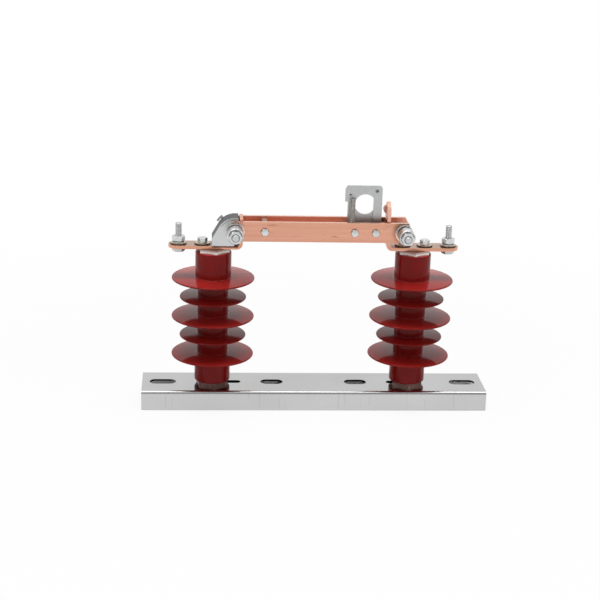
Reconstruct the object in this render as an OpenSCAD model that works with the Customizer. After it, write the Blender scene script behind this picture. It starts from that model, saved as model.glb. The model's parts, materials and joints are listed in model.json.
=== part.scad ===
// Single-pole outdoor disconnect switch: a hinged twin copper blade carried on two post insulators
// Millimetres: X along the base, Y away from the viewer, Z up, origin under the middle of the base

/* [Base channel] */
// overall length
base_l = 525; // [500:1:600]
// overall width
base_w = 84; // [78:1:100]
// overall height
base_h = 30; // [26:1:40]
// sheet thickness
base_t = 3; // [2:0.5:4]
// outside radius of the two bends
bend_r = 5; // [4.5:0.5:8]
// width of the mounting slots
slot_w = 19; // [12:0.5:22]
// length of the outer mounting slots
outer_slot_l = 40; // [30:1:46]
// from the end of the base to the middle of an outer slot
outer_slot_edge = 31.5; // [30:0.5:36]
// length of the inner mounting slots
inner_slot_l = 34; // [26:1:40]
// distance between the inner mounting slots
inner_slot_pitch = 129; // [110:1:140]
// width of the slots for the insulator bolts
post_slot_w = 11; // [10.5:0.1:13]
// length of the slots for the insulator bolts
post_slot_l = 52; // [48:1:58]
// distance between the slots for the insulator bolts
post_slot_pitch = 277; // [272:1:284]

/* [Post insulators] */
// distance between the two insulators
post_pitch = 300; // [296:1:306]
// offset of the pair from the middle of the base
post_shift = -6; // [-9:0.5:-3]
// height with both end fittings
post_h = 215; // [210:1:225]
// diameter of the plain ends
post_end_d = 54; // [52:1:60]
// diameter between the sheds
post_stem_d = 46; // [40:1:50]
// distance between sheds
shed_pitch = 30; // [27:0.5:32]
// diameter of the large sheds
large_shed_d = 124; // [110:1:130]
// diameter of the small sheds
small_shed_d = 100; // [90:1:108]
// thickness of the shed rim
shed_rim_t = 2.5; // [2:0.5:4]
// fall of the shed top from root to rim
shed_fall = 2; // [1:0.5:6]
// metal height showing at each end
fitting_h = 6; // [4:0.5:8]
// width across flats of the hexagonal end fittings
fitting_af = 44; // [43:0.5:46]
// diameter of each fitting inside the housing
socket_d = 44; // [43:0.5:46]
// turn of the hinge side's hexagons
hinge_fitting_turn = 39; // [0:1:60]
// turn of the contact side's hexagons
contact_fitting_turn = 30; // [0:1:60]
// depth of each fitting inside the housing
socket_depth = 22; // [20:1:28]
// diameter of the insulator bolts
post_bolt_d = 10; // [9:0.5:10]

/* [Copper terminals] */
// width of the copper strip
strip_w = 30; // [30:1:36]
// thickness of the copper strip
strip_t = 5; // [4:0.5:6]
// inside radius of the bend
strip_bend_r = 4; // [3:0.5:5]
// from the insulator axis to the rounded outer tip
terminal_reach = 67; // [62:1:74]
// from the insulator axis to the outside of the upright
upright_reach = 43; // [42:0.5:45]
// height of the hinge upright above the plate
hinge_upright_h = 42; // [40:1:48]
// height of the contact upright above the plate
contact_upright_h = 67; // [62:1:72]
// diameter of the terminal bolts
stud_d = 10; // [9:0.5:10]
// height of the terminal bolts above the plate
stud_h = 31.5; // [29:0.5:36]
// distance of the plate screws from the insulator axis
screw_reach = 16.5; // [15.5:0.5:17]
// diameter of the plate screws
screw_d = 8; // [7:0.5:8]
// diameter of the half-round catch on the contact upright
catch_d = 13; // [10:0.5:14]
// depth of the catch
catch_depth = 4.2; // [3:0.1:4.5]
// length of the catch
catch_l = 8; // [6:0.5:8]
// height of the catch above the plate
catch_h = 54; // [52:0.5:57]

/* [Hinge bracket] */
// sheet thickness
bracket_t = 2; // [1.5:0.5:2.5]
// from the insulator axis to the back of the bracket
bracket_back = 2.5; // [1:0.5:3.5]
// height of the upright back
bracket_knee = 12; // [10:0.5:14]
// slope of the back
bracket_slope = 60; // [57:0.5:62]
// height of the hood above the plate
hood_h = 43; // [42:0.5:46]
// outside radius of the hood
hood_r = 28; // [22:1:29]
// gap between the hood and the cheeks
hood_gap = 0.6; // [0.4:0.1:1.2]
// width of the ear on the rear cheek
ear_w = 3; // [2:0.5:4]
// gap between the ear and the hood
ear_gap = 1.2; // [0.8:0.1:1.6]

/* [Blade] */
// height of each blade bar
blade_h = 30; // [28:1:32]
// thickness of each blade bar
blade_t = 5; // [4:0.5:6]
// clear height between the plate and the blade
blade_lift = 9; // [7:0.5:11]
// gap between each bar and the uprights
contact_gap = 0.3; // [0.2:0.05:0.5]
// from the hinge insulator axis to the hinge bolt
hinge_reach = 31; // [30:0.5:31.5]
// from the contact insulator axis to the clamp bolt
clamp_reach = 17; // [14:0.5:18]
// bar length beyond the end bolts
blade_tail = 12.5; // [11:0.5:14]
// length of the sloped end corners
tail_cut = 7; // [5:0.5:9]
// height of the sloped end corners
tail_cut_h = 15; // [10:0.5:18]
// from the hinge bolt to the spacer bolt
spacer_reach = 44; // [43:0.5:50]
// thickness of the spacer block
spacer_t = 7; // [6.6:0.1:9]
// diameter of the hinge and clamp bolts
pivot_d = 10; // [9:0.5:10]
// diameter of the spring cups
cup_d = 24; // [22:0.5:26]
// length of the spring cups
cup_l = 25; // [22:0.5:28]
// diameter of the small bolts through the bars
small_d = 6; // [5:0.5:6]

/* [Pull ring and latch] */
// from the clamp bolt to the latch bolt
latch_reach = 43.5; // [42:0.5:44]
// from the latch bolt to the eye bolt
eye_bolt_pitch = 31.3; // [29:0.1:33]
// diameter of the hook eye
eye_d = 31; // [27:1:32]
// height of the eye above the bolts
eye_h = 39; // [38:0.5:41]
// from the latch bolt to the middle of the eye
eye_reach = 15.5; // [14.5:0.5:16.5]
// sheet thickness of the eye plate and the latch
ring_t = 2.5; // [2:0.1:2.7]
// height of the latch above its bolt
latch_h = 67.5; // [65:0.1:70]
// width of the latch
latch_w = 55.3; // [53:0.1:57]
// width of the latch leg
leg_w = 12.9; // [12:0.1:13.5]
// from the latch bolt to the right edge of the leg
leg_right = 9.6; // [9:0.1:10]
// height of the latch tab
tab_h = 24.5; // [22:0.1:26]
// wire diameter of the latch spring
wire_d = 1.3; // [1:0.1:1.4]
// outside diameter of the latch spring
coil_d = 7.4; // [6.5:0.1:7.6]
// pitch of the latch spring
coil_pitch = 1.5; // [1.45:0.05:1.8]
// turns of the latch spring
coil_turns = 22.5; // [20.5:1:22.5]

/* [Hidden] */
$fn = 96;
// clearance of screws and seated round parts
fit = 0.05;
// seating clearance of rounds on another piece
seat = 0.3;
over = 1;
base_top = base_h;
plate_bottom = base_top + post_h;
plate_top = plate_bottom + strip_t;
hinge_post_x = post_shift - post_pitch / 2;
contact_post_x = post_shift + post_pitch / 2;
blade_z = plate_top + blade_lift + blade_h / 2;
bar_in = strip_w / 2 + contact_gap;
bar_out = bar_in + blade_t;
hinge_x = hinge_post_x + hinge_reach;
clamp_x = contact_post_x - clamp_reach;
spacer_x = hinge_x + spacer_reach;
latch_x = clamp_x - latch_reach;
eye_bolt_x = latch_x - eye_bolt_pitch;
stud_x = strip_w / 2 - terminal_reach;
hood_clear = 2;
bend_clear = 3;
hood_end = upright_reach - strip_t - hood_clear;
large_af = 17;
large_washer_d = 24;
large_split_d = 17.5;
post_washer_d = 28;
washer_t = 2;
split_t = 2.4;
split_open = 8;
nut_h = 8;
head_h = 6.4;
// a free thread is drawn at about its pitch diameter
thread_d = 0.9 * stud_d;
thread_clear = 0.5;
screw_af = 13;
screw_head_h = 5.5;
screw_washer_d = 24;
screw_split_d = 13.5;
screw_split_t = 2;
screw_depth = 12;
bore_floor = 3;
bolt_end = 3;
hex_round = 0.95;
hex_slope = 1.7;
tip_ratio = 0.1;
small_af = 10;
small_head_h = 4;
small_nut_h = 5;
cup_gap = 1.6;
cup_wall = 1.5;
cup_edge = 2;
cup_wire = 2.2;
cup_turns = 5;
cup_wire_gap = 0.4;
bar_chamfer = 5;
spacer_inset = 2;
end_edge = 2;
// blends of a shed into the stem
shed_fillet = 4;
shed_blend = 2.5;
shed_under = 2;
shed_under_rise = 2;
eye_front = 0.5;
latch_front = -ring_t;
sleeve_d = small_d + 3;
collar_d = sleeve_d + 4;
collar_t = 2;
collar_gap = 0.5;
small_end = 2;
eye_left = 10;
eye_right = 8.5;
eye_corner = 6;
eye_drop = 3;
latch_boss_r = leg_right - 0.4;
latch_cut_w = 3;
latch_cut_h = 5.5;
latch_corner = 5;
latch_hole_d = 3.5;
latch_hole_in = 8;
hook_hole_d = wire_d + 1.7;
hook_drop = 14;
hook_rise = 7;
hook_bend = 1.6;
spring_gap = 0.6;
foot_gap = 0.4;
ear_from = 128;
ear_to = 148;
ear_neck = 6;
coil_r = (coil_d - wire_d) / 2;
coil_y = latch_front - coil_d / 2 - spring_gap;
hook_z = blade_z + latch_h - hook_drop;
copper = [0.85, 0.55, 0.42];
steel = [0.75, 0.76, 0.78];
rubber = [0.5, 0.12, 0.1];

// Shared shapes

module on_post(x) {
  translate([x, 0, 0]) children();
}

// copies a child to both insulators, turned so that local +X points at the blade
module both_posts() {
  on_post(hinge_post_x) children();
  on_post(contact_post_x) mirror([1, 0, 0]) children();
}

// turns a shape drawn in XZ and extruded along -Y into place
module upright(y) {
  translate([0, y, 0]) rotate([90, 0, 0]) children();
}

// a solid of revolution along +Y, starting at (x, y, z)
module along_y(x, y, z) {
  translate([x, y, z]) rotate([-90, 0, 0]) children();
}

module slot(length, width, height) {
  linear_extrude(height) {
    square([length - width, width], center = true);
    for (side = [-1, 1]) translate([side * (length - width) / 2, 0]) circle(d = width);
  }
}

module ring(outer, inner, height) {
  difference() {
    cylinder(d = outer, h = height);
    translate([0, 0, -over]) cylinder(d = inner, h = height + 2 * over);
  }
}

module split_ring(outer, inner, height) {
  rotate_extrude(angle = 360 - split_open) translate([inner / 2, 0]) square([(outer - inner) / 2, height]);
}

// hexagon with its corners turned off on the top face, and on the bottom face if asked
module hexagon(af, height, both = false) {
  corner = af / cos(30);
  intersection() {
    cylinder(d = corner, h = height, $fn = 6);
    cylinder(d1 = af * hex_round + 2 * height * hex_slope, d2 = af * hex_round, h = height);
    if (both) cylinder(d1 = af * hex_round, d2 = af * hex_round + 2 * height * hex_slope, h = height);
    else cylinder(d = corner + over, h = height);
  }
}

module hex_nut(af, bore, height) {
  difference() {
    hexagon(af, height, true);
    translate([0, 0, -over]) cylinder(d = bore + 2 * fit, h = height + 2 * over);
  }
}

// head from z = 0 upwards, shank downwards with a turned tip
module hex_bolt(af, head, d, length) {
  tip = d * tip_ratio;
  union() {
    hexagon(af, head);
    translate([0, 0, tip - length]) cylinder(d = d, h = length - tip + head / 2);
    translate([0, 0, -length]) cylinder(d1 = d - 2 * tip, d2 = d, h = tip);
  }
}

// round wire swept along a path of points
module wire(path, d, sides = 6) {
  n = len(path);
  tangents = [for (i = [0:n - 1]) unit(path[min(i + 1, n - 1)] - path[max(i - 1, 0)])];
  first = unit(cross(tangents[0], [0.31, 0.52, 0.79]));
  normals = [for (i = 0, u = first; i < n; i = i + 1, u = i < n ? square_to(u, tangents[i]) : u) u];
  points = [for (i = [0:n - 1]) for (k = [0:sides - 1])
    path[i] + d / 2 * (cos(360 * k / sides) * normals[i]
      + sin(360 * k / sides) * cross(tangents[i], normals[i]))];
  walls = [for (i = [0:n - 2]) for (k = [0:sides - 1])
    [i * sides + k, i * sides + (k + 1) % sides, (i + 1) * sides + (k + 1) % sides, (i + 1) * sides + k]];
  start = [[for (k = [sides - 1:-1:0]) k]];
  end = [[for (k = [0:sides - 1]) (n - 1) * sides + k]];
  polyhedron(points, [for (f = concat(walls, start, end)) [for (k = [len(f) - 1:-1:0]) f[k]]]);
}

function unit(v) = v / norm(v);
function square_to(u, t) = unit(u - (u * t) * t);

// Base

module base_profile(width, height, radius) {
  translate([-width / 2, -over]) square([width, height - radius + over]);
  translate([-width / 2 + radius, 0]) square([width - 2 * radius, height]);
  for (side = [-1, 1]) translate([side * (width / 2 - radius), height - radius]) circle(r = radius);
}

module base_channel() color(steel) {
  difference() {
    translate([-base_l / 2, 0, 0]) rotate([90, 0, 90]) linear_extrude(base_l) difference() {
      base_profile(base_w, base_h, bend_r);
      base_profile(base_w - 2 * base_t, base_h - base_t, bend_r - base_t);
      translate([-base_w, -2 * over]) square([2 * base_w, 2 * over]);
    }
    for (side = [-1, 1]) translate([0, 0, base_top - base_t - over]) {
      translate([side * (base_l / 2 - outer_slot_edge), 0, 0]) slot(outer_slot_l, slot_w, base_t + 2 * over);
      translate([side * inner_slot_pitch / 2, 0, 0]) slot(inner_slot_l, slot_w, base_t + 2 * over);
      translate([side * post_slot_pitch / 2, 0, 0]) slot(post_slot_l, post_slot_w, base_t + 2 * over);
    }
  }
}

// Post insulators

// one shed as a revolved outline with a half-round rim
module shed(d, z) {
  rim = shed_rim_t / 2;
  stem = post_stem_d / 2;
  root = shed_fall + rim;
  edge = [for (a = [75:-30:-75]) [d / 2 - rim + rim * cos(a), z + rim * sin(a)]];
  high = z + root + shed_blend;
  low = z - shed_under;
  slope = shed_fall / (d / 2 - stem);
  rotate_extrude() polygon(concat([[0, low], [0, high], [stem, high],
    [stem + shed_fillet, z + root - shed_fillet * slope]], edge,
    [[stem + shed_fillet, low + shed_under_rise], [stem, low]]));
}

module post_end(low, high) {
  wall = post_end_d / 2;
  rotate_extrude() polygon([[0, low], [wall - end_edge, low], [wall, low + end_edge],
    [wall, high - end_edge], [wall - end_edge, high], [0, high]]);
}

module post_housing() {
  low = fitting_h;
  high = post_h - fitting_h;
  middle = post_h / 2;
  reach = 2 * shed_pitch;
  difference() {
    union() {
      translate([0, 0, low + over]) cylinder(d = post_stem_d, h = high - low - 2 * over);
      post_end(low, middle - reach + end_edge + shed_rim_t / 4);
      post_end(middle + reach, high);
      for (k = [-2:2]) shed(k % 2 == 0 ? large_shed_d : small_shed_d, middle + k * shed_pitch);
    }
    translate([0, 0, low - over]) cylinder(d = socket_d + 2 * fit, h = socket_depth + over);
    translate([0, 0, high - socket_depth]) cylinder(d = socket_d + 2 * fit, h = socket_depth + over);
  }
}

// hexagonal flange outside the housing, round plug inside it
module fitting(turn) {
  rotate(turn) cylinder(d = fitting_af / cos(30), h = fitting_h, $fn = 6);
  cylinder(d = socket_d, h = fitting_h + socket_depth);
}

module post_foot(turn) {
  difference() {
    fitting(turn);
    translate([0, 0, -over])
      cylinder(d = post_bolt_d + 2 * fit, h = fitting_h + socket_depth - bore_floor);
  }
}

module post_cap(turn) {
  translate([0, 0, post_h]) mirror([0, 0, 1]) difference() {
    fitting(turn);
    for (side = [-1, 1]) translate([side * screw_reach, 0, -over])
      cylinder(d = screw_d + 2 * fit, h = fitting_h + socket_depth - bore_floor);
  }
}

module hinge_post_housing() color(rubber) translate([hinge_post_x, 0, base_top]) post_housing();
module contact_post_housing() color(rubber) translate([contact_post_x, 0, base_top]) post_housing();
module hinge_post_foot() color(steel)
  translate([hinge_post_x, 0, base_top]) post_foot(hinge_fitting_turn);
module contact_post_foot() color(steel)
  translate([contact_post_x, 0, base_top]) post_foot(contact_fitting_turn);
module hinge_post_cap() color(steel)
  translate([hinge_post_x, 0, base_top]) post_cap(hinge_fitting_turn);
module contact_post_cap() color(steel)
  translate([contact_post_x, 0, base_top]) post_cap(contact_fitting_turn);

module post_bolts() color(steel) {
  both_posts() translate([0, 0, base_top - base_t - washer_t]) mirror([0, 0, 1])
    hex_bolt(large_af, head_h, post_bolt_d, base_t + washer_t + fitting_h + socket_depth - 2 * bore_floor);
}

module post_washers() color(steel) {
  both_posts() translate([0, 0, base_top - base_t - washer_t])
    ring(post_washer_d, post_bolt_d + 2 * fit, washer_t);
}

// Copper terminals

// strip bent up at its inner end, with a round outer tip and, if asked, a round upper one
module terminal(upright_h, round_top) {
  inner = upright_reach - strip_t;
  straight = upright_h - strip_bend_r - (round_top ? strip_w / 2 : 0);
  centre = inner - strip_bend_r;
  difference() {
    union() {
      translate([0, 0, plate_bottom]) linear_extrude(strip_t) {
        translate([stud_x, -strip_w / 2]) square([centre - stud_x, strip_w]);
        translate([stud_x, 0]) circle(d = strip_w);
      }
      translate([centre, 0, plate_top + strip_bend_r]) rotate([90, 0, 0]) rotate([0, 0, -90])
        rotate_extrude(angle = 90) translate([strip_bend_r, -strip_w / 2]) square([strip_t, strip_w]);
      translate([inner, 0, plate_top + strip_bend_r]) rotate([90, 0, 90]) linear_extrude(strip_t) {
        translate([-strip_w / 2, 0]) square([strip_w, straight]);
        if (round_top) translate([0, straight]) circle(d = strip_w);
      }
    }
    translate([stud_x, 0, plate_bottom - over]) cylinder(d = stud_d + 2 * seat, h = strip_t + 2 * over);
    for (side = [-1, 1]) translate([side * screw_reach, 0, plate_bottom - over])
      cylinder(d = screw_d + 2 * seat, h = strip_t + 2 * over);
  }
}

module hinge_terminal() color(copper)
  on_post(hinge_post_x) terminal(hinge_upright_h, false);
module contact_terminal() color(copper)
  on_post(contact_post_x) mirror([1, 0, 0]) terminal(contact_upright_h, true);

module contact_catch() color(copper) {
  face = contact_post_x - upright_reach;
  along_y(face, eye_front + ring_t + over, plate_top + catch_h) intersection() {
    translate([catch_d / 2 - catch_depth, 0, 0]) cylinder(d = catch_d, h = catch_l);
    translate([-catch_d, -catch_d, -over]) cube([catch_d, 2 * catch_d, catch_l + 2 * over]);
  }
}

// Hinge bracket, drawn from the insulator axis and the top of the plate

slope_run = (hood_h - hood_r + hood_r * cos(bracket_slope) - bracket_knee) / sin(bracket_slope);
slope_end = [slope_run * cos(bracket_slope) - bracket_back, bracket_knee + slope_run * sin(bracket_slope)];
arc_centre = [slope_end[0] + hood_r * sin(bracket_slope), hood_h - hood_r];
function on_arc(r, a) = arc_centre + r * [cos(a), sin(a)];

// upright back, slope and rounded hood as one bent strip
module bracket_web() {
  intersection() {
    union() {
      translate([-bracket_back, 0]) square([bracket_t, bracket_knee]);
      translate([-bracket_back, bracket_knee]) rotate(bracket_slope)
        translate([-bracket_t, -bracket_t]) square([slope_run + bracket_t, bracket_t]);
      polygon(concat([for (a = [90 + bracket_slope:-bracket_slope / 10:89]) on_arc(hood_r, a)],
        [for (a = [90:bracket_slope / 10:91 + bracket_slope]) on_arc(hood_r - bracket_t, a)]));
      translate([arc_centre[0] - over, hood_h - bracket_t]) square([hood_end, bracket_t]);
    }
    translate([-bracket_back, 0]) square([bracket_back + hood_end, hood_h]);
  }
}

module bracket_cheek() {
  edge = hood_r - bracket_t - hood_gap;
  heel = strip_bend_r + bend_clear;
  polygon(concat([[-bracket_back, 0], [-bracket_back, bracket_knee],
    slope_end + bracket_t / 2 * [sin(bracket_slope), -cos(bracket_slope)]],
    [for (a = [84 + bracket_slope:-6:90]) on_arc(edge, a)],
    [[hood_end, arc_centre[1] + edge], [hood_end, heel], [hood_end - heel, 0]]));
}

// small ear that curls back over the hood on the rear cheek
module bracket_ear() {
  low = hood_r + ear_gap;
  polygon(concat([for (a = [ear_from:4:ear_to]) on_arc(low + ear_w, a)],
    [for (a = [ear_to:-4:ear_from + ear_neck]) on_arc(low, a)],
    [for (a = [ear_from + ear_neck, ear_from]) on_arc(hood_r - 2 * bracket_t, a)]));
}

module hinge_bracket() color(steel) {
  width = strip_w - 1;
  translate([hinge_post_x, 0, plate_top]) difference() {
    union() {
      upright(width / 2) linear_extrude(width) bracket_web();
      for (y = [width / 2, bracket_t - width / 2]) upright(y) linear_extrude(bracket_t) bracket_cheek();
      upright(width / 2) linear_extrude(bracket_t) bracket_ear();
      translate([-bracket_back, -width / 2, 0])
        cube([bracket_back + hood_end - strip_bend_r - bend_clear, width, bracket_t]);
    }
    along_y(hinge_reach, -strip_w, blade_z - plate_top) cylinder(d = pivot_d + 2 * fit, h = 2 * strip_w);
    translate([screw_reach, 0, -over]) cylinder(d = screw_d + 2 * seat, h = bracket_t + 2 * over);
  }
}

// Terminal bolts and plate screws

// head under the plate, plain through the nut, free thread above it
module terminal_bolts() color(steel) {
  grip = strip_t + washer_t + split_t + nut_h + thread_clear;
  length = strip_t + stud_h;
  tip = stud_d * tip_ratio;
  both_posts() translate([stud_x, 0, plate_bottom]) {
    mirror([0, 0, 1]) hexagon(large_af, head_h);
    translate([0, 0, -head_h / 2]) cylinder(d = stud_d, h = grip + head_h / 2);
    cylinder(d = thread_d, h = length - tip);
    translate([0, 0, length - tip]) cylinder(d1 = thread_d, d2 = thread_d - 2 * tip, h = tip);
  }
}

module terminal_washers() color(steel) {
  both_posts() translate([stud_x, 0, plate_top]) ring(large_washer_d, stud_d + 2 * fit, washer_t);
}

module terminal_spring_washers() color(steel) {
  both_posts() translate([stud_x, 0, plate_top + washer_t])
    split_ring(large_split_d, stud_d + 2 * fit, split_t);
}

module terminal_nuts() color(steel) {
  both_posts() translate([stud_x, 0, plate_top + washer_t + split_t]) hex_nut(large_af, stud_d, nut_h);
}

// the inner screw of the hinge side stands on the bracket foot
function screw_base(x, inner) = plate_top + (x < 0 && inner ? bracket_t : 0);

module at_screws() {
  for (x = [hinge_post_x, contact_post_x]) for (inner = [false, true]) {
    towards = x < 0 ? 1 : -1;
    translate([x + (inner ? towards : -towards) * screw_reach, 0, screw_base(x, inner)]) children();
  }
}

module plate_washers() color(steel) at_screws() ring(screw_washer_d, screw_d + 2 * fit, washer_t);
module plate_spring_washers() color(steel)
  at_screws() translate([0, 0, washer_t]) split_ring(screw_split_d, screw_d + 2 * fit, screw_split_t);
module plate_screws() color(steel)
  at_screws() translate([0, 0, washer_t + screw_split_t])
    hex_bolt(screw_af, screw_head_h, screw_d, strip_t + washer_t + screw_split_t + fitting_h + screw_depth);

// Blade

module bar_profile() {
  left = hinge_x - blade_tail;
  right = clamp_x + blade_tail;
  low = -blade_h / 2;
  high = blade_h / 2;
  polygon([[left, low + bar_chamfer], [left + bar_chamfer, low], [right - bar_chamfer, low],
    [right, low + bar_chamfer], [right, high - tail_cut_h], [right - tail_cut, high],
    [left + tail_cut, high], [left, high - tail_cut_h]]);
}

module blade_bar(y) {
  translate([0, 0, blade_z]) difference() {
    upright(y) linear_extrude(blade_t) bar_profile();
    for (x = [hinge_x, clamp_x]) along_y(x, y - blade_t - over, 0)
      cylinder(d = pivot_d + 2 * fit, h = blade_t + 2 * over);
    for (x = [spacer_x, eye_bolt_x, latch_x]) along_y(x, y - blade_t - over, 0)
      cylinder(d = small_d + 2 * fit, h = blade_t + 2 * over);
  }
}

module front_blade_bar() color(copper) blade_bar(-bar_in);
module rear_blade_bar() color(copper) blade_bar(bar_out);

module blade_spacer() color(copper) {
  height = blade_h - 2 * spacer_inset;
  difference() {
    translate([spacer_x - spacer_t / 2, -bar_in, blade_z - height / 2])
      cube([spacer_t, 2 * bar_in, height]);
    along_y(spacer_x, -bar_in - over, blade_z) cylinder(d = small_d + 2 * fit, h = 2 * bar_in + 2 * over);
  }
}

module small_bolt(x) {
  translate([x, -bar_out, blade_z]) rotate([90, 0, 0])
    hex_bolt(small_af, small_head_h, small_d, 2 * bar_out + small_nut_h + small_end);
}

module small_nut(x) {
  along_y(x, bar_out, blade_z) hex_nut(small_af, small_d, small_nut_h);
}

module spacer_bolt() color(steel) small_bolt(spacer_x);
module spacer_nut() color(steel) small_nut(spacer_x);

// Spring-loaded bolts of the hinge and the clamp

module pivot_bolt(x) {
  back = bar_out + washer_t;
  front = bar_out + washer_t + cup_gap + cup_l + nut_h + bolt_end;
  along_y(x, back, blade_z) hex_bolt(large_af, head_h, pivot_d, back + front);
}

module pivot_nut(x) {
  translate([x, -bar_out - washer_t - cup_gap - cup_l, blade_z]) rotate([90, 0, 0])
    hex_nut(large_af, pivot_d, nut_h);
}

module pivot_washers(x) {
  for (y = [bar_out, -bar_out - washer_t]) along_y(x, y, blade_z)
    ring(large_washer_d, pivot_d + 2 * fit, washer_t);
}

module spring_cup(x) {
  inner = cup_d - 2 * cup_wall;
  flat = cup_d / 2 - cup_edge;
  translate([x, -bar_out - washer_t - cup_gap, blade_z]) rotate([90, 0, 0]) rotate_extrude() difference() {
    union() {
      square([cup_d / 2, cup_l - cup_edge]);
      square([flat, cup_l]);
      translate([flat, cup_l - cup_edge]) circle(r = cup_edge);
    }
    translate([-over, -over]) square([inner / 2 + over, cup_l - cup_wall + over]);
    translate([-over, 0]) square([pivot_d / 2 + fit + over, cup_l + over]);
  }
}

module pivot_spring(x) {
  steps = 20;
  radius = (cup_d - 2 * cup_wall - cup_wire) / 2 - cup_wire_gap;
  length = cup_gap + cup_l - cup_wall - cup_wire - 2 * seat;
  translate([x, -bar_out - washer_t - seat - cup_wire / 2, blade_z]) rotate([90, 0, 0])
    wire([for (i = [0:cup_turns * steps]) [radius * cos(360 * i / steps), radius * sin(360 * i / steps),
      length * i / (cup_turns * steps)]], cup_wire);
}

module hinge_bolt() color(steel) pivot_bolt(hinge_x);
module hinge_nut() color(steel) pivot_nut(hinge_x);
module hinge_washers() color(steel) pivot_washers(hinge_x);
module hinge_spring_cup() color(steel) spring_cup(hinge_x);
module hinge_spring() color(steel) pivot_spring(hinge_x);
module clamp_bolt() color(steel) pivot_bolt(clamp_x);
module clamp_nut() color(steel) pivot_nut(clamp_x);
module clamp_washers() color(steel) pivot_washers(clamp_x);
module clamp_spring_cup() color(steel) spring_cup(clamp_x);
module clamp_spring() color(steel) pivot_spring(clamp_x);

// Pull ring: a fixed eye plate and, in front of it, a sprung latch

module eye_profile() {
  width = eye_bolt_pitch + eye_left + eye_right;
  side = -eye_bolt_pitch - eye_left;
  top = latch_h - eye_drop;
  circle(r = eye_right);
  translate([-eye_bolt_pitch, 0]) circle(r = eye_left);
  translate([-eye_bolt_pitch, -eye_right]) square([eye_bolt_pitch, top]);
  translate([side, 0]) square([width, top - eye_corner]);
  translate([side + eye_corner, 0]) square([width - 2 * eye_corner, top]);
  for (x = [side + eye_corner, eye_right - eye_corner])
    translate([x, top - eye_corner]) circle(r = eye_corner);
}

module eye_plate() color(steel) {
  translate([latch_x, 0, blade_z]) upright(eye_front + ring_t) linear_extrude(ring_t) difference() {
    eye_profile();
    translate([-eye_reach, eye_h]) circle(d = eye_d);
    for (x = [0, -eye_bolt_pitch]) translate([x, 0]) circle(d = small_d + 2 * fit);
  }
}

// plate with one cut and one round corner, cut back to the eye
module latch_head() {
  left = leg_right - latch_w;
  low = latch_h - tab_h;
  round_x = leg_right - latch_corner;
  round_z = latch_h - latch_corner;
  difference() {
    linear_extrude(ring_t) polygon(concat([[leg_right, low], [left, low], [left, latch_h - latch_cut_h],
      [left + latch_cut_w, latch_h]],
      [for (a = [90:-10:0]) [round_x + latch_corner * cos(a), round_z + latch_corner * sin(a)]]));
    translate([-eye_reach, eye_h, -over]) cylinder(d = eye_d, h = ring_t + 2 * over);
  }
}

module pull_latch() color(steel) {
  translate([latch_x, 0, blade_z]) upright(latch_front + ring_t) difference() {
    union() {
      cylinder(r = latch_boss_r, h = ring_t);
      translate([leg_right - leg_w, 0, 0]) cube([leg_w, latch_h - latch_corner, ring_t]);
      latch_head();
    }
    translate([0, 0, -over]) {
      cylinder(d = sleeve_d + 2 * fit, h = ring_t + 2 * over);
      translate([leg_right - latch_hole_in, latch_h - latch_hole_in, 0])
        cylinder(d = latch_hole_d, h = ring_t + 2 * over);
      translate([eye_bolt_x - 2 * coil_r - latch_x, hook_z - blade_z, 0])
        cylinder(d = hook_hole_d, h = ring_t + 2 * over);
    }
  }
}

module eye_bolt() color(steel) small_bolt(eye_bolt_x);
module latch_bolt() color(steel) small_bolt(latch_x);
module eye_nuts() color(steel) {
  small_nut(eye_bolt_x);
  small_nut(latch_x);
}

module sleeves(x) {
  along_y(x, -bar_in, blade_z) ring(sleeve_d, small_d + 2 * fit, bar_in + eye_front);
  along_y(x, eye_front + ring_t, blade_z) ring(sleeve_d, small_d + 2 * fit, bar_in - eye_front - ring_t);
}

module eye_sleeve() color(steel) sleeves(eye_bolt_x);
module latch_sleeve() color(steel) {
  sleeves(latch_x);
  along_y(latch_x, latch_front - collar_gap - collar_t, blade_z) ring(collar_d, sleeve_d - over, collar_t);
}

// close-wound tension spring from the eye bolt sleeve up to the hole in the latch tab
module latch_spring() color([0.35, 0.35, 0.37]) {
  steps = 12;
  bend = hook_bend;
  length = coil_turns * coil_pitch;
  foot = blade_z + sleeve_d / 2 + foot_gap + wire_d / 2;
  start = hook_z - hook_rise - length;
  low_leg = [for (z = [foot:bend:start - bend - over]) [coil_r, -bend, z]];
  low_turn = [for (a = [0:30:60]) [coil_r, -bend * cos(a), start - bend + bend * sin(a)]];
  coil = [for (i = [0:coil_turns * steps])
    [coil_r * cos(360 * i / steps), coil_r * sin(360 * i / steps), start + coil_pitch * i / steps]];
  high = start + length;
  high_turn = [for (a = [30:30:90]) [-coil_r, -bend * sin(a), high + bend - bend * cos(a)]];
  high_leg = [for (z = [high + bend + over:bend:hook_z - over]) [-coil_r, -bend, z]];
  reach = -coil_y - foot_gap;
  hook = [for (t = [1 / 6:1 / 6:1]) [-coil_r, -bend + t * (reach + bend), hook_z]];
  translate([eye_bolt_x - coil_r, coil_y, 0])
    wire(concat(low_leg, low_turn, coil, high_turn, high_leg, hook), wire_d);
}

base_channel();
hinge_post_housing();
contact_post_housing();
hinge_post_foot();
contact_post_foot();
hinge_post_cap();
contact_post_cap();
post_bolts();
post_washers();
hinge_terminal();
contact_terminal();
contact_catch();
hinge_bracket();
terminal_bolts();
terminal_nuts();
terminal_washers();
terminal_spring_washers();
plate_screws();
plate_washers();
plate_spring_washers();
front_blade_bar();
rear_blade_bar();
blade_spacer();
spacer_bolt();
spacer_nut();
hinge_bolt();
hinge_nut();
hinge_washers();
hinge_spring_cup();
hinge_spring();
clamp_bolt();
clamp_nut();
clamp_washers();
clamp_spring_cup();
clamp_spring();
eye_plate();
eye_bolt();
latch_bolt();
eye_nuts();
eye_sleeve();
latch_sleeve();
latch_spring();
pull_latch();
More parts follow.
